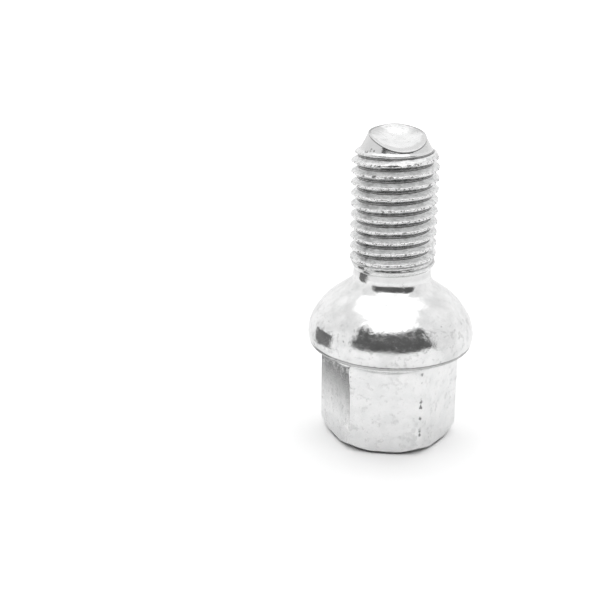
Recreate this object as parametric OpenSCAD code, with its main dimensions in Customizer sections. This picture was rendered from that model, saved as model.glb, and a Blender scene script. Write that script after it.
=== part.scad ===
// Wheel bolt with a ball seat, standing on its head.
// Z runs along the bolt, from the middle of the head's end face at 0 to the thread's tip.

/* [Hex] */
// Width across the flats that the wheel wrench grips
hex_af = 17; // [14:0.5:18.5]
// Height at which the middle of each flat runs into the collar's back
hex_h = 12.3; // [9:0.1:16]
// Radius of the flat circle on the head's end face
end_face_r = 8.4; // [6:0.1:8.5]
// Slope of the end chamfer against the end face
end_chamfer_angle = 40; // [20:1:60]
// Turn of the hex about the bolt's axis
hex_turn = -7.5; // [-30:0.5:30]

/* [Collar] */
// Largest diameter of the collar
collar_d = 23.3; // [21.5:0.1:28]
// Height of the crowned band, from its lower edge to the edge of the ball seat
band_h = 3.3; // [2:0.1:5]
// Height of the band's widest level above its lower edge
band_wide_h = 1.4; // [0.5:0.1:2]
// Radius of the crown across the band
crown_r = 4; // [3:0.1:8]
// Slope of the collar's back, from the flats out to the band
back_angle = 31; // [15:1:50]

/* [Ball seat] */
// Spherical radius of the seat
seat_r = 12; // [11.5:0.1:14]
// Depth of the sphere's centre below the edge of the seat
seat_drop = 4.7; // [3:0.1:7]
// Radius of the fillet between the seat and the neck
neck_fillet = 1.2; // [0.3:0.05:1.5]

/* [Shank] */
// Diameter of the plain neck
neck_d = 10.8; // [9:0.1:11.2]
// Length of the plain neck above its fillet
neck_l = 1.55; // [0.5:0.05:6]
// Major diameter of the thread
thread_d = 11.9; // [11.4:0.05:14]
// Length of the thread, from the neck to the tip's cone
thread_l = 13.8; // [8:0.1:40]

/* [Tip] */
// Angle of the tip's cone against the bolt's axis
tip_angle = 28.4; // [15:0.1:35]
// Height of the cropped end above the thread, on the axis
tip_h = 3.8; // [2.5:0.1:4.5]
// Tilt of the cropped end
crop_tilt = 16.4; // [0:0.1:20]
// Direction of its low side, turned from +X towards +Y
crop_turn = -69.5; // [-180:0.1:180]
// Radius of the shallow dish in the cropped end
dish_r = 3.6; // [2:0.1:3.8]
// Depth of that dish
dish_depth = 0.45; // [0.1:0.05:0.8]

/* [Hidden] */
zinc = "#cfd2d4";
$fn = 96;
// Overlap that keeps unions and cuts clean
eps = 0.01;

hex_r = hex_af / 2 / cos(30);

// Middle of the crown's arc, and where the arc meets the sloping back
crown_x = collar_d / 2 - crown_r;
band_low_r = crown_x + sqrt(pow(crown_r, 2) - pow(band_wide_h, 2));
band_low_z = hex_h + (band_low_r - hex_af / 2) * tan(back_angle);
band_top_z = band_low_z + band_h;

// Middle of the seat's sphere, and of the arc that rounds its way into the neck
seat_z = band_top_z - seat_drop;
neck_r = neck_d / 2;
fillet_x = neck_r + neck_fillet;
fillet_z = seat_z + sqrt(pow(seat_r + neck_fillet, 2) - pow(fillet_x, 2));
fillet_foot_r = fillet_x * seat_r / (seat_r + neck_fillet);

thread_r = thread_d / 2;
thread_z = fillet_z + neck_l;
tip_z = thread_z + thread_l;
end_z = tip_z + tip_h;
apex_z = tip_z + thread_r / tan(tip_angle);

// Reach of the cropped face to its low and high side, and its middle between them
crop_r = (apex_z - end_z) * tan(tip_angle);
crop_low_r = crop_r / (1 - tan(crop_tilt) * tan(tip_angle));
crop_high_r = crop_r / (1 + tan(crop_tilt) * tan(tip_angle));
crop_mid = (crop_low_r - crop_high_r) / 2 / cos(crop_tilt);
dish_sphere_r = (pow(dish_r, 2) + pow(dish_depth, 2)) / (2 * dish_depth);

// Crowned collar with its sloping back, as a section right of the axis.
module collar_section() {
    axis_z = hex_h - hex_af / 2 * tan(back_angle);
    intersection() {
        polygon([
            [0, axis_z],
            [collar_d, axis_z + collar_d * tan(back_angle)],
            [collar_d, band_top_z],
            [0, band_top_z],
        ]);
        union() {
            translate([crown_x, band_low_z + band_wide_h])
                circle(r = crown_r);
            translate([0, axis_z])
                square([crown_x, band_top_z - axis_z]);
        }
    }
}

// Ball seat above its edge, with the fillet into the neck.
module seat_section() {
    intersection() {
        translate([0, seat_z])
            circle(r = seat_r);
        translate([0, band_top_z - eps])
            square(seat_r);
    }
    difference() {
        translate([0, band_top_z])
            square([fillet_foot_r, fillet_z - band_top_z]);
        translate([fillet_x, fillet_z])
            circle(r = neck_fillet);
    }
}

// Neck, major cylinder of the thread and cone of the tip.
module shank_section() {
    polygon([
        [0, band_top_z],
        [neck_r, band_top_z],
        [neck_r, thread_z],
        [thread_r, thread_z + thread_r - neck_r],
        [thread_r, tip_z],
        [0, apex_z],
    ]);
}

// Hex, rooted in the collar, with the round end chamfer that leaves a circle on its end face.
module hex_head() {
    root_z = band_low_z + band_h / 2;
    intersection() {
        rotate([0, 0, hex_turn])
            cylinder(r = hex_r, h = root_z, $fn = 6);
        cylinder(r1 = end_face_r, r2 = end_face_r + root_z / tan(end_chamfer_angle), h = root_z);
    }
}

// What cropping takes off the tip: all above a tilted plane, and the dish in it.
module crop() {
    translate([0, 0, end_z])
        rotate([0, 0, crop_turn])
            rotate([0, crop_tilt, 0]) {
                cylinder(r = collar_d, h = collar_d);
                translate([crop_mid, 0, dish_sphere_r - dish_depth])
                    sphere(r = dish_sphere_r);
            }
}

module bolt() {
    color(zinc)
        difference() {
            union() {
                hex_head();
                rotate_extrude() {
                    collar_section();
                    seat_section();
                    shank_section();
                }
            }
            crop();
        }
}

bolt();
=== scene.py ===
"""Wheel bolt standing on its head, in a plain white studio.

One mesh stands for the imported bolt. It has the bolt's measures, and adds the helical thread, the
rounded edges and the dents. The fillet at its neck is wider, and the edge of its cropped end bends.
Lengths are in millimetres up to the point where they go into Blender.
"""

import math

import bpy
import numpy as np
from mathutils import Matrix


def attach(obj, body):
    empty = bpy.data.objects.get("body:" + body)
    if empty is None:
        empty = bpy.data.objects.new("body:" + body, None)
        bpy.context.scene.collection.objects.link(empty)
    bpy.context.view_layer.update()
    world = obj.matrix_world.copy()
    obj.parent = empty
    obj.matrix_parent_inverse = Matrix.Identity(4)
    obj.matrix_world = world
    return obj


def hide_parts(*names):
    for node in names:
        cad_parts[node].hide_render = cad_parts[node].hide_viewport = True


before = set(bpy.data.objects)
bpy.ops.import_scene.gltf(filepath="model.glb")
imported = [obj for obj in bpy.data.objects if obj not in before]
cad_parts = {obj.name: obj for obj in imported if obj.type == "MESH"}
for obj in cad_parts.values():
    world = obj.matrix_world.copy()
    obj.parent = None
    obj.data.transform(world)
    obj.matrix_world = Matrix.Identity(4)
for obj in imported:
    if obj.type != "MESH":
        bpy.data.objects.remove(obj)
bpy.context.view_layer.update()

MM = 0.001

# Hex
HEX_INRADIUS = 8.5
HEX_CORNER_ROUND = 0.22
HEX_TURN_DEGREES = -7.5
HEX_TURN = math.radians(HEX_TURN_DEGREES)
HEX_TOP = 12.3
# Share of the flat's height at which an extra ring keeps the soft edge's shading low
FLAT_FIRST_SHARE = 0.01

# End face, its round edge and the chamfer
END_FACE_R = 8.28
END_FACE_RADII = (1, 2, 3, 4, 5, 6, 7, 7.6, 8, 8.15)
END_CHAMFER = math.tan(math.radians(40))
END_EDGE_IN = 0.08
END_EDGE_OUT = 0.05
END_EDGE_RISE = 0.03
END_EDGE_AT = (0.35, 0.7, 1)
CHAMFER_SHARES = (0.3, 0.6, 0.85)
# Soft edge between chamfer and flats: its share of the chamfer, and its height on the flats
CHAMFER_SOFT_SHARE = 0.1
CHAMFER_SOFT_RISE = 0.12
CHAMFER_SOFT_AT = (0.3, 0.6, 1)

# Collar's back, with the hollow at the flats and the thin step round it
BACK_SLOPE = math.tan(math.radians(31))
HOLLOW_DROP = 0.35
HOLLOW_REACH = 0.4
# Share of the room up to the step that the hollow takes at most, and the margin left there
HOLLOW_SHARE = 0.6
HOLLOW_MARGIN = 0.05
BACK_STEP = 0.05
BACK_STEP_R = 9.93
BACK_STEP_FOOT_R = 9.89
BACK_STEP_FADE_R = (9.9, 9.97)
BACK_RADII = (BACK_STEP_R, 9.98, 10.05, 10.4, 10.8, 11.1, 11.27)

# Crowned band
COLLAR_R = 11.65
BAND_TOP_Z = 17.341
CROWN_R = 4.0
CROWN_DROP = 1.9
CROWN_X = COLLAR_R - CROWN_R
CROWN_Z = BAND_TOP_Z - CROWN_DROP
CROWN_START_Z = 14.42
# Angles on the crown at which the flatter upper arc starts and ends, and that arc's radius
BAND_BEND = math.radians(14)
BAND_END = math.radians(22)
BAND_UPPER_R = 6.715
SCORE_Z = 14.33
# Lower edge of the band and the score line above it: radius and height of each ring
BAND_FOOT = (
    (11.3, 13.93),
    (11.36, 13.955),
    (11.4, 14.0),
    (11.42, 14.07),
    (11.44, 14.2),
    (11.45, 14.3),
    (11.42, 14.335),
    (11.44, 14.38),
)

# Ball seat
SEAT_R = 12.0
SEAT_DROP = 4.7
SEAT_Z = BAND_TOP_Z - SEAT_DROP
SEAT_START_Z = 17.371
# How far the seat rises towards the band, and the height from which it does
SEAT_EDGE_RISE = 0.173
SEAT_RISE_Z = 20.5
SEAT_RISE_POWER = 1.5
# How far the seat sinks towards the neck, and the heights between which it does
SEAT_TOP_SINK = 0.415
SEAT_SINK_Z = (19.3, 22.6)

# Fillet and neck
FILLET_R = 2.4
FILLET_Z = 24.25
FILLET_END = math.radians(56)
NECK_R = 5.4

# Thread
CREST_R = 5.95
PITCH = 1.5
CREST_Z = 37.603
THREAD_FOOT_Z = 24.9
# Heights between which crests and grooves grow out of the neck
CREST_GROWS_Z = (THREAD_FOOT_Z, 25.9)
GROOVE_GROWS_Z = (25.0, 27.5)
# Section of the thread: pitches along the axis from a crest's middle, and the drops there
SECTION_AT = (0, 0.035, 0.08, 0.13, 0.25, 0.38, 0.44, 0.5)
SECTION_DROP = (0, 0.004, 0.055, 0.165, 0.461, 0.78, 0.9, 0.935)
ROW_OFFSETS = [-at for at in reversed(SECTION_AT)] + list(SECTION_AT[1:-1])
# Nearest that a row of the thread comes to the rings below and above it
ROW_GAP = 0.03

# Tip
TIP_SLOPE = math.tan(math.radians(28.4))
APEX_Z = 50.424
# Metal pushed up round the cone's foot, and the heights between which it ends
TIP_BULGE = 0.38
BULGE_END_Z = (41.1, 41.6)
CONE_RING_Z = 41.62
CONE_TOP_DROP = 0.25
END_Z = 43.28
# Rises of the cropped end's edge: waves in a turn, height, and angle of a top in degrees
EDGE_WAVES = ((1, 1.02, 100), (2, 0.25, 15), (3, 0.12, -25))
HIGH_TURN = math.radians(EDGE_WAVES[0][2])
# Burr: how far each ring lies below the edge, and how far it stands out from the cone
BURR = ((0.17, 0), (0.1, 0.01), (0.07, 0.05), (0.02, 0.06))
# Dish: depth, share of the way out that it reaches, and how much less on the side of the wide land
DISH_DEPTH = 0.5
DISH_SHARE = 0.985
LAND_SHARE = 0.11
LAND_TURN = math.radians(-25)
CROP_SHARES = (0.99, 0.975, 0.955, 0.93, 0.88, 0.8, 0.7, 0.58, 0.45, 0.3, 0.15)

# Columns of the mesh, and how much they crowd at the hex corners
COLUMNS_PER_FLAT = 48
COLUMNS = 6 * COLUMNS_PER_FLAT
CORNER_CROWDING = 0.7
# Number of rings on each stretch of the section
FLAT_RINGS = 36
HOLLOW_RINGS = 4
SLOPE_RINGS = 2
CROWN_RINGS = 11
BAND_UPPER_RINGS = 6
SEAT_RINGS = 30
FILLET_RINGS = 11
NECK_RINGS = 3
CONE_RINGS = 7

# Unevenness of the surface: height, length and random seed of its waves
WIDE_WAVES = (0.012, 3.4, 11)
NARROW_WAVES = (0.004, 1.3, 12)
ROLLED_WAVES = (0.018, 0.7, 13)
# Waves in one sum, the range of their lengths, and the sum's peak against its root mean square
WAVE_COUNT = 28
WAVE_SPREAD = (0.7, 1.5)
WAVE_PEAK = 1.5
# Share of the waves on the end face, and what is added above its edge and from the collar up
FACE_UNEVEN = 0.05
HEX_UNEVEN = 0.1
HEX_UNEVEN_Z = (0.05, 1.0)
FORGED_UNEVEN = 0.85

# Zones by height: where each starts, is full, is still full and has ended
THREADED_Z = (25.2, 25.9, 41.1, 41.5)
NECK_ZONE_Z = (24.15, 24.3, 24.8, 25.1)
WORN_BAND_Z = (13.9, 14.2, 18.6, 19.6)
HEX_ZONE_Z = (0.5, 1.5, 12.0, 12.8)
SEAT_ZONE_Z = (13.9, 14.3, 23.0, 24.2)
# Zones by height that last up to the tip: where each starts and is full
FORGED_Z = (13.3, 14.0)
CONE_ZONE_Z = (41.2, 41.7)
CREST_MARKS_Z = (25.9, 26.4)
ROOT_SHADE_Z = (26.4, 27.3)
ROOT_SHADE_END_Z = 41.4
# Height from which the cropped end is marked, and radius outside which the tip counts as cone
CROP_MARKS_Z = 42
CONE_INNER_R = 3.4

# Zones on the thread, in pitches from a crest's middle
UNDER_AT = (0.1, 0.16)
FLANK_AT = (0.08, 0.14, 0.36, 0.42)
CREST_AT = (0.07, 0.11)
# Painted shade in the root: pitches from a crest's middle, and how strong the shade is there
ROOT_AT = (0.4, 0.43, 0.475, 0.5)
ROOT_SHADE = (0, 1, 1, 0.55)

# Lines of painted shade in the shallow grooves where the last turn fades: turns from the crest at
# CREST_Z, half their width in turns
RUNOUT_LINES = (-8.08, -7.62, -7.25)
RUNOUT_LINE_HALF = 0.07
RUNOUT_FOOT_Z = 24.7
RUNOUT_END_Z = (26.8, 27.4)

# Painted shade: the score line and the strip below it on the band, the contact shadow round the end
# face's edge, the shadow under the tip's burr, and the darker rim and veil of the cropped end
SCORE_HALF = 0.05
SCORE_FADE = 0.04
STRIP_H = 0.1
STRIP_FOOT_Z = 13.9
BAND_INNER_R = 11.25
FOOT_SHADOW_Z = (0.32, 0.42)
FOOT_SHADOW_R = 8.1
BURR_LINE_DROP = 0.135
BURR_LINE_HALF = 0.075
BURR_LINE_FADE = 0.03
RIM_SHARE = 0.95
RIM_DROP = 0.06
VEIL_SHARES = (0.45, 0.9)
# How far under its edge the cropped end starts to be worn
CROP_WORN_DROP = 0.02
# Cosines of the angle to the tip's high side, or its low one, where that side starts and is full
HIGH_SIDE = (-0.2, 0.3)
LOW_SIDE = (-0.2, 0.5)

# Strengths of zones, marks and painted shade that are weaker than 1
NECK_DULL = 0.6
CROP_WORN = 0.5
RUNOUT_SHADE = 0.5
STRIP_SHADE = 0.45
RIM_SHADE = 0.6
VEIL_SHADE = 0.3
# Painted shadow under the burr: its strength all round, and what its low side adds
BURR_SHADOW = 0.2
BURR_SHADOW_LOW = 0.55

# Angles of the two hex corners in front, in degrees
RIGHT_CORNER = HEX_TURN_DEGREES - 60
LEFT_CORNER = HEX_TURN_DEGREES - 120
# Dents and pits: angle round the axis in degrees, height, reach and depth, below 0 for a bump
DENTS = (
    (-115, 19.4, 0.4, 0.03),
    (-71, 18, 0.35, -0.03),
    (-54, 19, 0.3, 0.06),
    (-138, 20.7, 0.2, 0.05),
    (-133, 17.2, 0.2, 0.05),
    (-128, 17.2, 0.2, 0.05),
    (-58, 16.8, 0.25, 0.04),
    (-59, 14.6, 0.25, 0.08),
    (-127, 9.9, 0.25, 0.08),
    (-126, 8.5, 0.22, 0.05),
    (-126, 7.5, 0.22, 0.05),
    (-118, 6, 0.22, 0.05),
    (-117, 6.4, 0.22, 0.05),
    (-116, 6.8, 0.22, 0.05),
    (-112, 7, 0.22, 0.04),
    (RIGHT_CORNER, 12.3, 0.3, 0.1),
    (RIGHT_CORNER, 11.1, 0.2, 0.07),
    (RIGHT_CORNER, 8.7, 0.26, 0.1),
    (RIGHT_CORNER, 8.2, 0.32, 0.13),
    (RIGHT_CORNER, 7.8, 0.28, 0.12),
    (RIGHT_CORNER, 7.3, 0.34, 0.13),
    (RIGHT_CORNER, 5.8, 0.32, 0.12),
    (RIGHT_CORNER, 3.8, 0.34, 0.13),
    (RIGHT_CORNER, 3.2, 0.3, 0.12),
    (RIGHT_CORNER, 4.3, 0.25, 0.1),
    (LEFT_CORNER, 12.1, 0.22, 0.1),
    (LEFT_CORNER, 11.4, 0.2, 0.07),
    (LEFT_CORNER, 10.7, 0.2, 0.08),
    (-119, 8.9, 0.25, 0.05),
    (-117, 8.5, 0.25, 0.05),
    (-92, 5, 0.3, 0.03),
    (-98, 3.6, 0.3, 0.03),
    (-44, 5.5, 0.22, 0.06),
    (-72, 9, 0.2, 0.05),
    (-102, 40.2, 0.22, 0.18),
    (-101, 38.8, 0.22, 0.2),
    (-124, 38.7, 0.28, 0.2),
    (-107, 38.6, 0.25, 0.2),
    (-152, 41.5, 0.24, 0.1),
    (-147, 41.5, 0.26, 0.1),
    (-140, 41.8, 0.28, 0.11),
    (-134, 41.8, 0.2, 0.09),
    (-46, 37.3, 0.22, 0.18),
    (-99, 34.2, 0.2, 0.15),
)
# Depth from which a dent is darkened all over
PIT_DARK_DEPTH = 0.1

# Noises of the plating: length of the main waves, detail and roughness
CLOUD = (1.9, 5, 0.65)
GRAIN = (0.42, 3, 0.6)
FINE_GRAIN = (0.3, 3, 0.6)
SPECK = (0.5, 2, 0.5)
PATCH = (0.8, 4, 0.7)
SOFT = (1.6, 4, 0.7)
HAZE = (3.5, 2, 0.5)
FLECK = (0.8, 5, 0.65)
STREAK = (0.6, 4, 0.65)
# Streaks are this many times longer round the thread than along it
STREAK_STRETCH = 3.5
# Two levels of the noise that breaks each mark up, and the mark's share at both
CLOUD_LEVELS = (0.4, 0.6, 0, 1)
HAZE_LEVELS = (0.42, 0.62, 0.02, 0.26)
FLECK_LEVELS = (0.56, 0.6, 0, 1)
STREAK_LEVELS = (0.44, 0.54, 0.5, 0)
CREST_HIGHLIGHT_LEVELS = (0.42, 0.52, 0, 1)
NICK_LEVELS = (0.57, 0.6, 0, 0.9)
ROOT_SHADE_LEVELS = (0.35, 0.65, 1, 0.85)
SPECK_LEVELS = (0.74, 0.78, 0, 0.5)
SOFT_LEVELS = (0.56, 0.62, 0, 0.3)
PIT_GRAIN_LEVELS = (0.35, 0.55, 0.3, 1)
PIT_LEVELS = (0.3, 0.75, 0, 0.85)
PAINTED_SHADE_LEVELS = (0.3, 0.6, 1, 0.85)
# Two levels of the patchy noise with the roughness at both, and what the thread's flanks add
ROUGHNESS_LEVELS = (0.45, 0.7, 0.1, 0.3)
FLANK_ROUGHER = 0.28
# Share of the flecks and bumps where a zone is 0 and where it is 1
WORN_FLECKS = (0.12, 0.4)
FORGED_BUMPS = (0.05, 1)
FINE_BUMPS = (0.06, 1)
# How much of the thread's fine bumps the worn places have
WORN_FINE = 0.45
# Share of grey on the cone, and of painted shade on the undersides of the thread
CONE_SHARE = 0.8
UNDER_SHADE_SHARE = 0.2
# Colour of the plating, and the greys of its marks, of its painted shade and of the crests' painted
# highlight
PLATING_COLOUR = (0.9, 0.905, 0.905, 1)
CLOUD_GREY = 0.99
HAZE_GREY = 0.5
FLECK_GREY = 0.55
STREAK_GREY = 0.5
CONE_GREY = 0.7
UNDER_SHADE_GREY = 0.2
CREST_HIGHLIGHT_GREY = 0.97
NICK_GREY = 0.12
ROOT_SHADE_GREY = 0.03
SPECK_GREY = 0.4
SOFT_GREY = 0.6
PIT_GREY = 0.12
PAINTED_SHADE_GREY = 0.04
# Bump heights
CLOUD_BUMP = 0.012
FLECK_BUMP = 0.008
GRAIN_BUMP = 0.03

# Studio world: angles in degrees, above the horizon or round from the front to either side
GAP_SIDE = (59, 61.5)
GAP_FOOT = (6, 10)
# The gap's top is an arch: tangent of its height in front, and how fast it falls to the sides
GAP_ARCH = 1.08
GAP_ARCH_FALL = 0.8
GAP_TOP_SOFT = 1.5
# Peaks on the arch: angle to the side and height
GAP_PEAKS = ((-51, 11), (47, 6))
PEAK_FADE = (2, 12)
CEILING_FRONT_EDGE = 43
CEILING_SIDE_EDGE = 61
CEILING_REAR_FADE = (98, 116)
CEILING_REAR_DROP = 10
CEILING_SOFT = 4
BACK_FADE = (115, 140)
# Brightness of the studio's parts
WALL_LIGHT = 0.86
BACK_LIGHT = 0.93
CEILING_LIGHT = 1.32
GAP_LIGHT = 0.1

# Cards, each made of lines: right end and left end as x, y and z, and the grey along the line
# The cards glow: the two upright dark ones are painted shade standing in for a bolt lying to the
# left, and the flat one on the floor, rising at its far edge, is its painted shadow
CARDS = (
    (((-28, 9, 5), (-45, 9, 3), 0.2), ((-28, 9, 18.4), (-45, 9, 22), 0.16)),
    (((-45, 9, 3), (-45, -7, 3), 0.2), ((-45, 9, 22), (-45, -7, 25), 0.12)),
    (
        ((-9.5, -6.1, 0.05), (-19.4, 17.9, 0.05), 0.83),
        ((-11.9, -7.1, 0.05), (-21.8, 16.9, 0.05), 0.7),
        ((-14.2, -8.1, 0.05), (-24.2, 16.0, 0.05), 0.47),
        ((-14.2, -8.1, 4.5), (-24.2, 16.0, 4.5), 0.1),
    ),
)

# Floor, a hair below the bolt, and its brightness in the picture
FLOOR_HALF = 1500
FLOOR_Z = -0.02
FLOOR_SEEN = 1.28

# Camera
CAMERA_PLACE = (-12.839, -130.989, 67.717)
CAMERA_TILT = math.radians(69.93)
CAMERA_LENS = 59.3
CAMERA_SENSOR = 36


def column_angles():
    """Angles of the mesh columns from one hex corner round, closer together at the corners."""
    u = np.arange(COLUMNS) / COLUMNS_PER_FLAT
    warped = u - CORNER_CROWDING * np.sin(2 * np.pi * u) / (2 * np.pi)
    return HEX_TURN + np.radians(60) * warped


PHI = column_angles()


def smooth(x, low, high):
    """0 below low, 1 above high, smooth between them."""
    t = np.clip((x - low) / (high - low), 0, 1)
    return t * t * (3 - 2 * t)


def fade(x, start, full, still_full, end):
    """0 up to start, 1 from full to still_full, 0 again from end, and smooth between them."""
    return smooth(x, start, full) * (1 - smooth(x, still_full, end))


def shares(count):
    """Equal steps from 0, which is left out, to 1."""
    return np.linspace(0, 1, count + 1)[1:]


def ring(radius, height):
    """One closed row of the mesh: a radius and a height for each column."""
    return np.stack([radius + 0 * PHI, height + 0 * PHI], axis=1)


def bezier(p0, p1, p2, t):
    """Ring at t on a quadratic curve."""
    radius = (1 - t) ** 2 * p0[0] + 2 * t * (1 - t) * p1[0] + t * t * p2[0]
    height = (1 - t) ** 2 * p0[1] + 2 * t * (1 - t) * p1[1] + t * t * p2[1]
    return ring(radius, height)


def arc_rings(middle_r, middle_z, radius, angles):
    """Rings on an arc. A radius below 0 makes a hollow arc that faces away from the axis."""
    return [ring(middle_r + radius * math.cos(a), middle_z + radius * math.sin(a)) for a in angles]


def hex_radius():
    """Distance of the rounded hex's surface from the axis, for each column."""
    a = (PHI - HEX_TURN) % np.radians(60) - np.radians(30)
    flat = HEX_INRADIUS / np.cos(a)
    core = HEX_INRADIUS - HEX_CORNER_ROUND
    corner_r = core / math.cos(math.radians(30))
    b = np.radians(30) - np.abs(a)
    reach = HEX_CORNER_ROUND**2 - (corner_r * np.sin(b)) ** 2
    arc = corner_r * np.cos(b) + np.sqrt(np.maximum(reach, 0))
    on_arc = HEX_INRADIUS * np.tan(np.abs(a)) > core * math.tan(math.radians(30))
    return np.where(on_arc, arc, flat)


HEX = hex_radius()


def chamfer_height(radius):
    """Height of the end chamfer at a radius."""
    return (radius - END_FACE_R) * END_CHAMFER


def back_height(radius):
    """Height of the collar's back at a radius."""
    return HEX_TOP + (radius - HEX_INRADIUS) * BACK_SLOPE


def end_face_rings():
    """Flat end face, with its rings closer together near the edge."""
    return [ring(radius, 0) for radius in END_FACE_RADII]


def end_chamfer_rings():
    """Round edge of the end face, then the cone out to the flats, with a soft upper edge."""
    start = (END_FACE_R + END_EDGE_OUT, END_EDGE_OUT * END_CHAMFER + END_EDGE_RISE)
    inner = (END_FACE_R - END_EDGE_IN, 0)
    rings = [bezier(inner, (END_FACE_R, 0), start, t) for t in END_EDGE_AT]
    reach = HEX - start[0]
    for share in CHAMFER_SHARES:
        radius = start[0] + reach * share
        rings.append(ring(radius, chamfer_height(radius)))
    low_r = HEX - CHAMFER_SOFT_SHARE * reach
    low = (low_r, chamfer_height(low_r))
    corner = (HEX, chamfer_height(HEX))
    high = (HEX, chamfer_height(HEX) + CHAMFER_SOFT_RISE)
    rings += [bezier(low, corner, high, t) for t in CHAMFER_SOFT_AT]
    return rings


def flat_rings():
    """Flats of the hex, from the chamfer's soft edge to the hollow under the collar."""
    low = chamfer_height(HEX) + CHAMFER_SOFT_RISE
    high = back_height(HEX) - HOLLOW_DROP
    steps = [FLAT_FIRST_SHARE, *shares(FLAT_RINGS)]
    return [ring(HEX, low + (high - low) * share) for share in steps]


def back_rings():
    """Collar's back: a small hollow at the flats, the slope, and a thin step round it."""
    top = back_height(HEX)
    out = np.minimum(HOLLOW_REACH, HOLLOW_SHARE * (BACK_STEP_R - HOLLOW_MARGIN - HEX))
    outer = (HEX + out, top + out * BACK_SLOPE)
    rings = [bezier((HEX, top - HOLLOW_DROP), (HEX, top), outer, t) for t in shares(HOLLOW_RINGS)]
    for share in shares(SLOPE_RINGS):
        radius = outer[0] + (BACK_STEP_FOOT_R - outer[0]) * share
        rings.append(ring(radius, back_height(radius)))
    for radius in BACK_RADII:
        step = BACK_STEP * smooth(radius, *BACK_STEP_FADE_R)
        rings.append(ring(radius, back_height(radius) - step))
    return rings


def band_rings():
    """Crowned band, with a thin score line above its lower edge and a flatter arc at its top."""
    rings = [ring(radius, height) for radius, height in BAND_FOOT]
    low = math.asin((CROWN_START_Z - CROWN_Z) / CROWN_R)
    rings += arc_rings(CROWN_X, CROWN_Z, CROWN_R, np.linspace(low, BAND_BEND, CROWN_RINGS))
    extra = BAND_UPPER_R - CROWN_R
    middle_r = CROWN_X - extra * math.cos(BAND_BEND)
    middle_z = CROWN_Z - extra * math.sin(BAND_BEND)
    angles = np.linspace(BAND_BEND, BAND_END, BAND_UPPER_RINGS + 1)[1:]
    return rings + arc_rings(middle_r, middle_z, BAND_UPPER_R, angles)


def seat_radius(height):
    """Spherical radius of the seat. It rises a little towards the band and sinks at the neck."""
    share = max(0, (SEAT_RISE_Z - height) / (SEAT_RISE_Z - BAND_TOP_Z))
    rise = SEAT_EDGE_RISE * share**SEAT_RISE_POWER
    return SEAT_R + rise - SEAT_TOP_SINK * smooth(height, *SEAT_SINK_Z)


def seat_rings():
    """Ball seat from its edge up, then the fillet into the neck."""
    middle = NECK_R + FILLET_R
    end_r = middle - FILLET_R * math.cos(FILLET_END)
    low = math.asin((SEAT_START_Z - SEAT_Z) / SEAT_R)
    high = math.acos(end_r / (SEAT_R - SEAT_TOP_SINK))
    rings = []
    for a in np.linspace(low, high, SEAT_RINGS):
        radius = seat_radius(SEAT_Z + SEAT_R * math.sin(a))
        rings.append(ring(radius * math.cos(a), SEAT_Z + radius * math.sin(a)))
    angles = np.linspace(FILLET_END, 0, FILLET_RINGS + 1)[1:]
    return rings + arc_rings(middle, FILLET_Z, -FILLET_R, angles)


def neck_rings():
    """Plain neck, from the fillet to the thread's foot."""
    heights = np.linspace(FILLET_Z, THREAD_FOOT_Z, NECK_RINGS + 1)[1:]
    return [ring(NECK_R, z) for z in heights]


def thread_turns(phi, z):
    """Turns of the helix above the crest at CREST_Z."""
    return (z - CREST_Z) / PITCH - phi / (2 * np.pi)


def thread_offset(phi, z):
    """Pitches above the middle of the nearest crest, from -0.5 to 0.5."""
    turns = thread_turns(phi, z)
    return turns - np.round(turns)


def cone_radius(z):
    """Radius of the tip's plain cone."""
    return (APEX_Z - z) * TIP_SLOPE


def tip_radius(z):
    """Radius of the tip: its cone, with the metal that rolling pushed up round its foot."""
    return cone_radius(z) + TIP_BULGE * (1 - smooth(z, *BULGE_END_Z))


def thread_radius(z):
    """Radius of the thread: it runs out into the neck, and the tip cuts its first turns."""
    reach = np.abs(thread_offset(PHI, z))
    crest = NECK_R + (CREST_R - NECK_R) * smooth(z, *CREST_GROWS_Z)
    depth = smooth(z, *GROOVE_GROWS_Z) * np.interp(reach, SECTION_AT, SECTION_DROP)
    return np.minimum(crest - depth, tip_radius(z))


def thread_rows():
    """Rows that follow the helix, from below the run-out to above the last groove."""
    first = math.floor((THREAD_FOOT_Z - CREST_Z) / PITCH) - 2
    last = math.ceil((CONE_RING_Z - CREST_Z) / PITCH) + 2
    rows = []
    for turn in range(first, last):
        for offset in ROW_OFFSETS:
            z = CREST_Z + PITCH * (turn + offset + PHI / (2 * np.pi))
            rows.append(np.stack([thread_radius(z), z], axis=1))
    return rows


def crop_rise(share, phi):
    """Rise of the cropped end above its middle, at a share of the way out to its edge."""
    rises = [h * share**n * np.cos(n * (phi - math.radians(top))) for n, h, top in EDGE_WAVES]
    return sum(rises)


def rim_height(phi):
    """Height of the cropped end's edge on the tip's cone, at each angle."""
    return END_Z + crop_rise(1, phi)


def cone_rings():
    """Tip's cone up to the crop, with the thin burr round its edge."""
    edge = rim_height(PHI)
    rise = edge - CONE_TOP_DROP - CONE_RING_Z
    heights = [CONE_RING_Z + rise * share for share in shares(CONE_RINGS)]
    rings = [ring(cone_radius(z), z) for z in heights]
    for below, out in BURR:
        rings.append(ring(cone_radius(edge - below) + out, edge - below))
    return rings


def crop_rings():
    """Cropped end face from its edge inwards: a land, wider on one side, then the dish."""
    rim_r = cone_radius(rim_height(PHI))
    reach = DISH_SHARE - LAND_SHARE * smooth(np.cos(PHI - LAND_TURN), 0, 1)
    rings = []
    for share in CROP_SHARES:
        dish = DISH_DEPTH * np.maximum(0, 1 - (share / reach) ** 2)
        rings.append(ring(rim_r * share, END_Z + crop_rise(share, PHI) - dish))
    return rings


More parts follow.
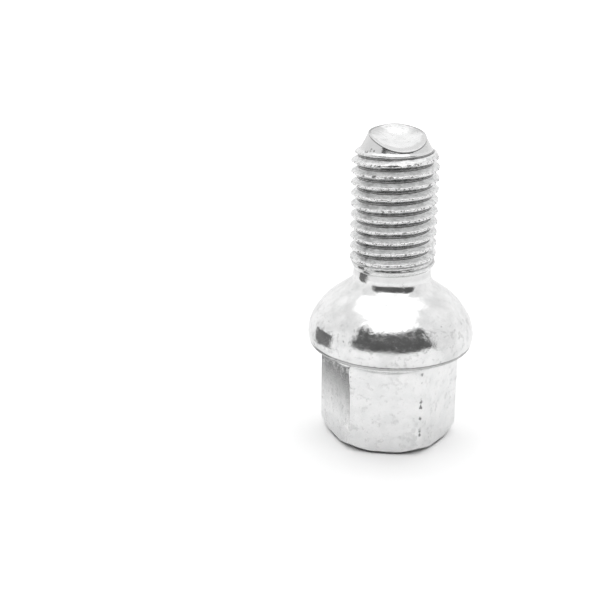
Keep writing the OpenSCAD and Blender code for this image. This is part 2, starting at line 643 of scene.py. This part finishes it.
class Shell:
    """Points and faces of a closed surface, made of rows from the bottom to the top."""

    def __init__(self):
        self.points = []
        self.faces = []
        self.last = None

    def add_point(self, column, radius, height):
        phi = PHI[column]
        self.points.append((radius * math.cos(phi), radius * math.sin(phi), height))
        return len(self.points) - 1

    def add_ring(self, row):
        return [self.add_point(i, r, z) for i, (r, z) in enumerate(row)]

    def add_face(self, *corners):
        """Face between the corners, where at least three of them lie apart."""
        kept = [c for n, c in enumerate(corners) if c != corners[n - 1]]
        if len(set(kept)) > 2:
            self.faces.append(kept)

    def stack(self, rings):
        """Each ring joined to the one below it."""
        for row in rings:
            ids = self.add_ring(row)
            if self.last:
                for i in range(COLUMNS):
                    j = (i + 1) % COLUMNS
                    self.add_face(self.last[i], self.last[j], ids[j], ids[i])
            self.last = ids

    def start(self, height, first_ring):
        """Middle point of the bottom and the ring round it."""
        centre = self.add_point(0, 0, height)
        self.stack([first_ring])
        for i in range(COLUMNS):
            self.add_face(self.last[(i + 1) % COLUMNS], self.last[i], centre)

    def end(self, height):
        """Middle point of the top."""
        centre = self.add_point(0, 0, height)
        for i in range(COLUMNS):
            self.add_face(self.last[i], self.last[(i + 1) % COLUMNS], centre)

    def row_points(self, row, low, high):
        """Points of a climbing row. Below the low ring and above the high one they are its own."""
        low_z = self.points[low[0]][2] + ROW_GAP
        high_z = self.points[high[0]][2] - ROW_GAP
        ids = []
        for i, (radius, z) in enumerate(row):
            if z < low_z:
                ids.append(low[i])
            elif z > high_z:
                ids.append(high[i])
            else:
                ids.append(self.add_point(i, radius, z))
        return ids

    def wind(self, rows, top_ring):
        """Rows that climb one pitch a turn, cut off at the last ring and at the top ring."""
        low = self.last
        high = self.add_ring(top_ring)
        table = [self.row_points(row, low, high) for row in rows]
        top = len(table) - 1
        for i in range(COLUMNS):
            j = (i + 1) % COLUMNS
            shift = 0 if j else len(ROW_OFFSETS)
            for n in range(top):
                b = table[min(n + shift, top)][j]
                c = table[min(n + 1 + shift, top)][j]
                self.add_face(table[n][i], b, c, table[n + 1][i])
        self.last = high


def bolt_mesh():
    """Closed surface of the bolt, from the end face that it stands on to the cropped end."""
    shell = Shell()
    face = end_face_rings()
    shell.start(0, face[0])
    shell.stack(face[1:])
    shell.stack(end_chamfer_rings())
    shell.stack(flat_rings())
    shell.stack(back_rings())
    shell.stack(band_rings())
    shell.stack(seat_rings())
    shell.stack(neck_rings())
    shell.wind(thread_rows(), ring(tip_radius(CONE_RING_Z), CONE_RING_Z))
    shell.stack(cone_rings())
    shell.stack(crop_rings())
    shell.end(END_Z - DISH_DEPTH)
    mesh = bpy.data.meshes.new("wheel_bolt")
    mesh.from_pydata([(x * MM, y * MM, z * MM) for x, y, z in shell.points], [], shell.faces)
    mesh.validate()
    mesh.update()
    return mesh


def read_vectors(collection, name):
    """One vector for each element of a mesh's collection."""
    flat = np.zeros(len(collection) * 3)
    collection.foreach_get(name, flat)
    return flat.reshape(-1, 3)


def waves(points, height, length, seed):
    """Smooth unevenness of about a height and a length, the same in each run."""
    rng = np.random.RandomState(seed)
    directions = rng.normal(size=(WAVE_COUNT, 3))
    directions /= np.linalg.norm(directions, axis=1)[:, None]
    sizes = length * rng.uniform(*WAVE_SPREAD, WAVE_COUNT)
    phases = rng.uniform(0, 2 * np.pi, WAVE_COUNT)
    angles = points @ (directions * (2 * np.pi / sizes)[:, None]).T + phases
    root_mean_square = math.sqrt(WAVE_COUNT / 2)
    return height * np.sin(angles).sum(axis=1) / (WAVE_PEAK * root_mean_square)


def dent(points, phi, z, reach, depth):
    """How deep one dent is at each point. Its middle is the surface point nearest to its place."""
    radius = np.hypot(points[:, 0], points[:, 1])
    turn = np.arctan2(points[:, 1], points[:, 0]) - phi
    turn = np.arctan2(np.sin(turn), np.cos(turn))
    middle = points[np.argmin((radius * turn) ** 2 + (points[:, 2] - z) ** 2)]
    away = np.linalg.norm(points - middle, axis=1)
    return depth * np.exp(-((away / reach) ** 2))


def tip_painted_shade(phi, radius, height):
    """Painted shade: the shadow under the tip's burr, and a darker rim and veil on the cropped
    end's high side.
    """
    edge = rim_height(phi)
    rim_r = cone_radius(edge)
    tilt = np.cos(phi - HIGH_TURN)
    high_side = smooth(tilt, *HIGH_SIDE)
    strength = BURR_SHADOW + BURR_SHADOW_LOW * smooth(-tilt, *LOW_SIDE)
    away = np.abs(edge - BURR_LINE_DROP - height)
    # Painted shadow in the crease under the burr, stronger on the low side
    line = strength * smooth(BURR_LINE_HALF - away, 0, BURR_LINE_FADE) * (radius > rim_r)
    # Painted shade: a darker rim on the high side
    rim = RIM_SHADE * high_side * (radius > RIM_SHARE * rim_r) * (height > edge - RIM_DROP)
    # Painted shade: a darker veil over the cropped end's high side
    veil = VEIL_SHADE * high_side * smooth(radius / rim_r, *VEIL_SHARES)
    veil *= (radius < rim_r) * (height > CROP_MARKS_Z)
    return np.maximum(line, np.maximum(rim, veil))


def head_painted_shade(radius, height):
    """Painted shade: the score line's crease, the strip below it where the band's edge faces down,
    and the contact shadow round the end face.
    """
    # Painted shade in the score line's crease
    score = smooth(SCORE_HALF - np.abs(height - SCORE_Z), 0, SCORE_FADE)
    # Painted shade on the strip below the score line, where the band's edge faces down
    strip = STRIP_SHADE * (1 - smooth(height, SCORE_Z - STRIP_H, SCORE_Z))
    strip *= height > STRIP_FOOT_Z
    # Painted contact shadow round the end face, where it stands on the floor
    foot = (1 - smooth(height, *FOOT_SHADOW_Z)) * (radius > FOOT_SHADOW_R)
    return np.maximum(np.maximum(score, strip) * (radius > BAND_INNER_R), foot)


def runout_lines(phi, height):
    """Thin lines of painted shade in the shallow grooves where the last turn of the thread fades
    into the neck.
    """
    turns = thread_turns(phi, height)
    away = np.min([np.abs(turns - at) for at in RUNOUT_LINES], axis=0)
    line = RUNOUT_SHADE * np.clip(1 - away / RUNOUT_LINE_HALF, 0, 1)
    return line * (1 - smooth(height, *RUNOUT_END_Z)) * (height > RUNOUT_FOOT_Z)


def thread_zones(phi, height):
    """Zones of the thread: its roots, with painted shade there and in the run-out lines, and its
    undersides, upper flanks and crests.
    """
    offset = thread_offset(phi, height)
    wound = fade(height, *THREADED_Z)
    # Painted shade in the roots and in the run-out lines
    root = np.interp(np.abs(offset), ROOT_AT, ROOT_SHADE) * smooth(height, *ROOT_SHADE_Z)
    root = np.maximum(root, runout_lines(phi, height))
    crest = (1 - smooth(np.abs(offset), *CREST_AT)) * smooth(height, *CREST_MARKS_Z)
    return {
        "threaded": wound,
        "root": root * (height < ROOT_SHADE_END_Z),
        "under": smooth(-offset, *UNDER_AT) * wound,
        "flank": fade(offset, *FLANK_AT) * wound,
        "crest": crest * wound,
    }


def zones(points):
    """Where the surface differs: 1 inside each zone, 0 outside it, at each point."""
    radius = np.hypot(points[:, 0], points[:, 1])
    phi = np.arctan2(points[:, 1], points[:, 0])
    height = points[:, 2]
    cone = smooth(height, *CONE_ZONE_Z) * (radius > CONE_INNER_R)
    cropped = (height > CROP_MARKS_Z) * (height < rim_height(phi) - CROP_WORN_DROP)
    return {
        **thread_zones(phi, height),
        "cone": np.maximum(cone, NECK_DULL * fade(height, *NECK_ZONE_Z)),
        "worn": np.maximum(fade(height, *WORN_BAND_Z), CROP_WORN * cropped),
        "forged": smooth(height, *FORGED_Z),
        "hex": fade(height, *HEX_ZONE_Z),
        "seat": fade(height, *SEAT_ZONE_Z),
        # Painted shade of the head's and the tip's lines, strips and edges
        "painted_shade": np.maximum(head_painted_shade(radius, height), tip_painted_shade(phi, radius, height)),
    }


def roughen(mesh):
    """Forging marks and dents: the surface moves along its own normal, and keeps its zones."""
    points = read_vectors(mesh.vertices, "co") / MM
    normals = read_vectors(mesh.vertices, "normal")
    layers = zones(points)
    uneven = FACE_UNEVEN + HEX_UNEVEN * smooth(points[:, 2], *HEX_UNEVEN_Z)
    uneven += FORGED_UNEVEN * layers["forged"]
    lift = (waves(points, *WIDE_WAVES) + waves(points, *NARROW_WAVES)) * uneven
    lift += layers["threaded"] * waves(points, *ROLLED_WAVES)
    pitted = np.zeros(len(points))
    for phi, z, reach, depth in DENTS:
        hollow = dent(points, math.radians(phi), z, reach, depth)
        lift -= hollow
        pitted = np.maximum(pitted, hollow / PIT_DARK_DEPTH)
    layers["pitted"] = np.clip(pitted, 0, 1)
    points += normals * lift[:, None]
    mesh.vertices.foreach_set("co", (points * MM).ravel())
    for name, values in layers.items():
        layer = mesh.attributes.new(name, "FLOAT", "POINT")
        layer.data.foreach_set("value", values)
    mesh.update()


def grey(value):
    """Grey as a colour."""
    return (value, value, value, 1)


class Nodes:
    """A node tree that is filled one node at a time."""

    def __init__(self, tree):
        self.tree = tree
        tree.nodes.clear()

    def set_input(self, socket, value):
        """An input linked to a socket, or set to a constant."""
        if isinstance(value, bpy.types.NodeSocket):
            self.tree.links.new(value, socket)
        else:
            socket.default_value = value

    def add(self, kind, settings=None, **inputs):
        """A node with its settings and inputs. An input is named, or i and its number."""
        node = self.tree.nodes.new(kind)
        for key, value in (settings or {}).items():
            setattr(node, key, value)
        for key, value in inputs.items():
            place = int(key[1:]) if key[1:].isdigit() else key.replace("_", " ")
            self.set_input(node.inputs[place], value)
        return node

    def math(self, operation, a, b=0.0):
        return self.add("ShaderNodeMath", {"operation": operation}, i0=a, i1=b).outputs[0]

    def times(self, a, b):
        return self.math("MULTIPLY", a, b)

    def minus(self, a, b):
        return self.math("SUBTRACT", a, b)

    def remap(self, value, low, high, to_low, to_high, smooth_step=False):
        """A value moved from one range to another, and held at its ends."""
        settings = {"interpolation_type": "SMOOTHSTEP" if smooth_step else "LINEAR"}
        node = self.add(
            "ShaderNodeMapRange",
            settings,
            Value=value,
            From_Min=low,
            From_Max=high,
            To_Min=to_low,
            To_Max=to_high,
        )
        return node.outputs["Result"]

    def attribute(self, name):
        return self.add("ShaderNodeAttribute", {"attribute_name": name}).outputs["Fac"]

    def noise(self, vector, length, detail, roughness):
        """Noise whose main waves are about a length in millimetres."""
        scale = 1 / (length * MM)
        inputs = {"Vector": vector, "Scale": scale, "Detail": detail, "Roughness": roughness}
        return self.add("ShaderNodeTexNoise", **inputs).outputs["Fac"]

    def mix(self, factor, a, b):
        """One colour where the factor is 0, and another where it is 1."""
        node = self.add("ShaderNodeMix", {"data_type": "RGBA"}, i0=factor, i6=a, i7=b)
        return node.outputs[2]

    def tint(self, colour, amount, value):
        """Colour with a grey laid over it where the amount is 1."""
        return self.mix(amount, colour, grey(value))

    def bump(self, height, strength, distance, below=None):
        """Normal of a bumpy surface, on top of another one if there is one."""
        node = self.add("ShaderNodeBump", Height=height, Strength=strength, Distance=distance * MM)
        if below is not None:
            self.set_input(node.inputs["Normal"], below)
        return node.outputs[0]


def plating(n, place, cloud, fleck):
    """Light plating with soft clouds, a grey veil on the seat, and flecks where it is worn."""
    colour = n.mix(n.remap(cloud, *CLOUD_LEVELS), PLATING_COLOUR, grey(CLOUD_GREY))
    haze = n.remap(n.noise(place, *HAZE), *HAZE_LEVELS, True)
    colour = n.tint(colour, n.times(n.attribute("seat"), haze), HAZE_GREY)
    worn = n.remap(n.attribute("worn"), 0, 1, *WORN_FLECKS)
    return n.tint(colour, n.times(n.remap(fleck, *FLECK_LEVELS), worn), FLECK_GREY)


def on_thread(n, place, grain, colour):
    """Thread and cone: streaks, painted shade on the undersides and in the roots, and a painted
    highlight on the crests, which have nicks.
    """
    stretch = {"i0": place, "i1": (1, 1, STREAK_STRETCH)}
    flat_place = n.add("ShaderNodeVectorMath", {"operation": "MULTIPLY"}, **stretch).outputs[0]
    streak = n.remap(n.noise(flat_place, *STREAK), *STREAK_LEVELS)
    colour = n.tint(colour, n.times(n.attribute("threaded"), streak), STREAK_GREY)
    colour = n.tint(colour, n.times(n.attribute("cone"), CONE_SHARE), CONE_GREY)
    # Painted shade: the thread's undersides, which face down, are darkened
    colour = n.tint(colour, n.times(n.attribute("under"), UNDER_SHADE_SHARE), UNDER_SHADE_GREY)
    crest = n.attribute("crest")
    # Painted highlight: the crests are lightened almost to white, broken up by the grain
    colour = n.tint(colour, n.times(crest, n.remap(grain, *CREST_HIGHLIGHT_LEVELS)), CREST_HIGHLIGHT_GREY)
    nicks = n.remap(n.noise(place, *FINE_GRAIN), *NICK_LEVELS)
    colour = n.tint(colour, n.times(crest, nicks), NICK_GREY)
    # Painted shade: the roots and the run-out lines are darkened almost to black
    root = n.times(n.attribute("root"), n.remap(grain, *ROOT_SHADE_LEVELS))
    return n.tint(colour, root, ROOT_SHADE_GREY)


def with_marks(n, place, grain, colour):
    """Dull specks everywhere, soft marks on the hex, darker dents, and painted shade on lines and
    edges.
    """
    colour = n.tint(colour, n.remap(n.noise(place, *SPECK), *SPECK_LEVELS), SPECK_GREY)
    soft = n.remap(n.noise(place, *SOFT), *SOFT_LEVELS)
    colour = n.tint(colour, n.times(soft, n.attribute("hex")), SOFT_GREY)
    # Dents are darkened, the more the deeper they are
    pits = n.times(n.attribute("pitted"), n.remap(grain, *PIT_GRAIN_LEVELS))
    colour = n.tint(colour, n.remap(pits, *PIT_LEVELS), PIT_GREY)
    # Painted shade: lines, strips and edges darkened almost to black, a little broken up by the
    # grain
    painted_shade = n.times(n.attribute("painted_shade"), n.remap(grain, *PAINTED_SHADE_LEVELS))
    return n.tint(colour, painted_shade, PAINTED_SHADE_GREY)


def zinc_normal(n, cloud, fleck, grain):
    """Bumps of the plating: weak on the hex, and finest on the thread and where it is worn."""
    forged = n.remap(n.attribute("forged"), 0, 1, *FORGED_BUMPS)
    normal = n.bump(cloud, forged, CLOUD_BUMP)
    normal = n.bump(fleck, forged, FLECK_BUMP, normal)
    fine = n.math("ADD", n.attribute("threaded"), n.times(n.attribute("worn"), WORN_FINE))
    return n.bump(grain, n.remap(fine, 0, 1, *FINE_BUMPS), GRAIN_BUMP, normal)


def zinc():
    """Bright zinc plating: light and lightly mottled, with painted shade in the thread's roots, and
    darker in dents.
    """
    material = bpy.data.materials.new("zinc_plating")
    material.use_nodes = True
    n = Nodes(material.node_tree)
    place = n.add("ShaderNodeTexCoord").outputs["Object"]
    cloud = n.noise(place, *CLOUD)
    grain = n.noise(place, *GRAIN)
    fleck = n.noise(place, *FLECK)
    colour = plating(n, place, cloud, fleck)
    colour = on_thread(n, place, grain, colour)
    colour = with_marks(n, place, grain, colour)
    rough = n.remap(n.noise(place, *PATCH), *ROUGHNESS_LEVELS)
    rough = n.math("ADD", rough, n.times(n.attribute("flank"), FLANK_ROUGHER))
    shader = n.add("ShaderNodeBsdfPrincipled", Metallic=1.0, Roughness=rough, Base_Color=colour)
    n.set_input(shader.inputs["Normal"], zinc_normal(n, cloud, fleck, grain))
    n.add("ShaderNodeOutputMaterial", Surface=shader.outputs[0])
    return material


def white_floor():
    """Matt white floor, a little overexposed in the picture, so that only close shadows stay."""
    material = bpy.data.materials.new("floor_white")
    material.use_nodes = True
    n = Nodes(material.node_tree)
    seen = n.add("ShaderNodeLightPath").outputs["Is Camera Ray"]
    matt = n.add("ShaderNodeBsdfDiffuse", Color=n.mix(seen, grey(1.0), grey(FLOOR_SEEN)))
    n.add("ShaderNodeOutputMaterial", Surface=matt.outputs[0])
    return material


def gap_share(n, rise, side, off, front):
    """1 inside the unlit gap above the table, 0 outside it."""
    arch = n.math("COSINE", n.math("RADIANS", n.times(off, GAP_ARCH_FALL)))
    top = n.math("DEGREES", n.math("ARCTANGENT", n.times(arch, GAP_ARCH)))
    for place, height in GAP_PEAKS:
        away = n.math("ABSOLUTE", n.minus(side, place))
        top = n.math("ADD", top, n.remap(away, *PEAK_FADE, height, 0, True))
    above = n.remap(rise, *GAP_FOOT, 0, 1, True)
    below = n.remap(n.minus(rise, top), -GAP_TOP_SOFT, GAP_TOP_SOFT, 1, 0, True)
    return n.times(front, n.times(above, below))


def ceiling_share(n, rise, off, front):
    """1 on the bright ceiling, which comes down lowest in front, and 0 below it."""
    edge = n.remap(front, 0, 1, CEILING_SIDE_EDGE, CEILING_FRONT_EDGE)
    edge = n.minus(edge, n.remap(off, *CEILING_REAR_FADE, 0, CEILING_REAR_DROP, True))
    return n.remap(n.minus(rise, edge), 0, CEILING_SOFT, 0, 1, True)


def studio_world():
    """White studio: a bright ceiling, a lighter back, and an unlit gap above the table in front."""
    world = bpy.data.worlds.new("studio")
    bpy.context.scene.world = world
    world.use_nodes = True
    n = Nodes(world.node_tree)
    way = n.add("ShaderNodeTexCoord").outputs["Generated"]
    xyz = n.add("ShaderNodeSeparateXYZ", Vector=way)
    rise = n.math("DEGREES", n.math("ARCSINE", xyz.outputs["Z"]))
    forward = n.times(xyz.outputs["Y"], -1)
    side = n.math("DEGREES", n.math("ARCTAN2", xyz.outputs["X"], forward))
    off = n.math("ABSOLUTE", side)
    front = n.remap(off, *GAP_SIDE, 1, 0, True)
    back = n.remap(off, *BACK_FADE, 0, 1, True)
    light = n.mix(back, grey(WALL_LIGHT), grey(BACK_LIGHT))
    light = n.mix(ceiling_share(n, rise, off, front), light, grey(CEILING_LIGHT))
    light = n.mix(gap_share(n, rise, side, off, front), light, grey(GAP_LIGHT))
    seen = n.add("ShaderNodeLightPath").outputs["Is Camera Ray"]
    shader = n.add("ShaderNodeBackground", Strength=1.0, Color=n.mix(seen, light, grey(1)))
    n.add("ShaderNodeOutputWorld", Surface=shader.outputs[0])


def grey_cards():
    """Glowing greys that the cards' points carry, from their attribute: painted shade in the bolt's
    reflections.
    """
    material = bpy.data.materials.new("card_grey")
    material.use_nodes = True
    n = Nodes(material.node_tree)
    colour = n.mix(n.attribute("shade"), grey(0), grey(1))
    glow = n.add("ShaderNodeEmission", Strength=1.0, Color=colour)
    n.add("ShaderNodeOutputMaterial", Surface=glow.outputs[0])
    return material


def card_mesh():
    """All cards as one mesh, with the grey of each point."""
    points = []
    shades = []
    faces = []
    for lines in CARDS:
        for n, (right, left, shade) in enumerate(lines):
            points += [[c * MM for c in left], [c * MM for c in right]]
            shades += [shade, shade]
            if n:
                last = len(points) - 1
                faces.append((last - 3, last - 2, last, last - 1))
    mesh = bpy.data.meshes.new("side_cards")
    mesh.from_pydata(points, [], faces)
    mesh.attributes.new("shade", "FLOAT", "POINT").data.foreach_set("value", shades)
    return mesh


def add_cards():
    """Glowing cards on the left, out of the picture, that only the bolt's reflections show: painted
    shade of a bolt lying there and of its shadow on the floor.
    """
    mesh = card_mesh()
    mesh.materials.append(grey_cards())
    cards = bpy.data.objects.new("side_cards", mesh)
    cards.visible_camera = False
    cards.visible_diffuse = False
    cards.visible_shadow = False
    bpy.context.scene.collection.objects.link(cards)


def add_floor():
    half = FLOOR_HALF * MM
    low = FLOOR_Z * MM
    corners = [(-half, -half, low), (half, -half, low), (half, half, low), (-half, half, low)]
    mesh = bpy.data.meshes.new("floor")
    mesh.from_pydata(corners, [], [(0, 1, 2, 3)])
    mesh.materials.append(white_floor())
    floor = bpy.data.objects.new("floor", mesh)
    bpy.context.scene.collection.objects.link(floor)


def add_camera():
    data = bpy.data.cameras.new("camera")
    data.sensor_width = CAMERA_SENSOR
    data.lens = CAMERA_LENS
    camera = bpy.data.objects.new("camera", data)
    camera.location = [c * MM for c in CAMERA_PLACE]
    camera.rotation_euler = (CAMERA_TILT, 0, 0)
    bpy.context.scene.collection.objects.link(camera)
    bpy.context.scene.camera = camera


def add_bolt():
    mesh = bolt_mesh()
    roughen(mesh)
    mesh.materials.append(zinc())
    mesh.polygons.foreach_set("use_smooth", [True] * len(mesh.polygons))
    bolt = bpy.data.objects.new("wheel_bolt", mesh)
    bpy.context.scene.collection.objects.link(bolt)
    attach(bolt, "root")
    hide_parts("bolt")


add_bolt()
add_floor()
add_cards()
studio_world()
add_camera()
bpy.context.scene.view_settings.view_transform = "Standard"
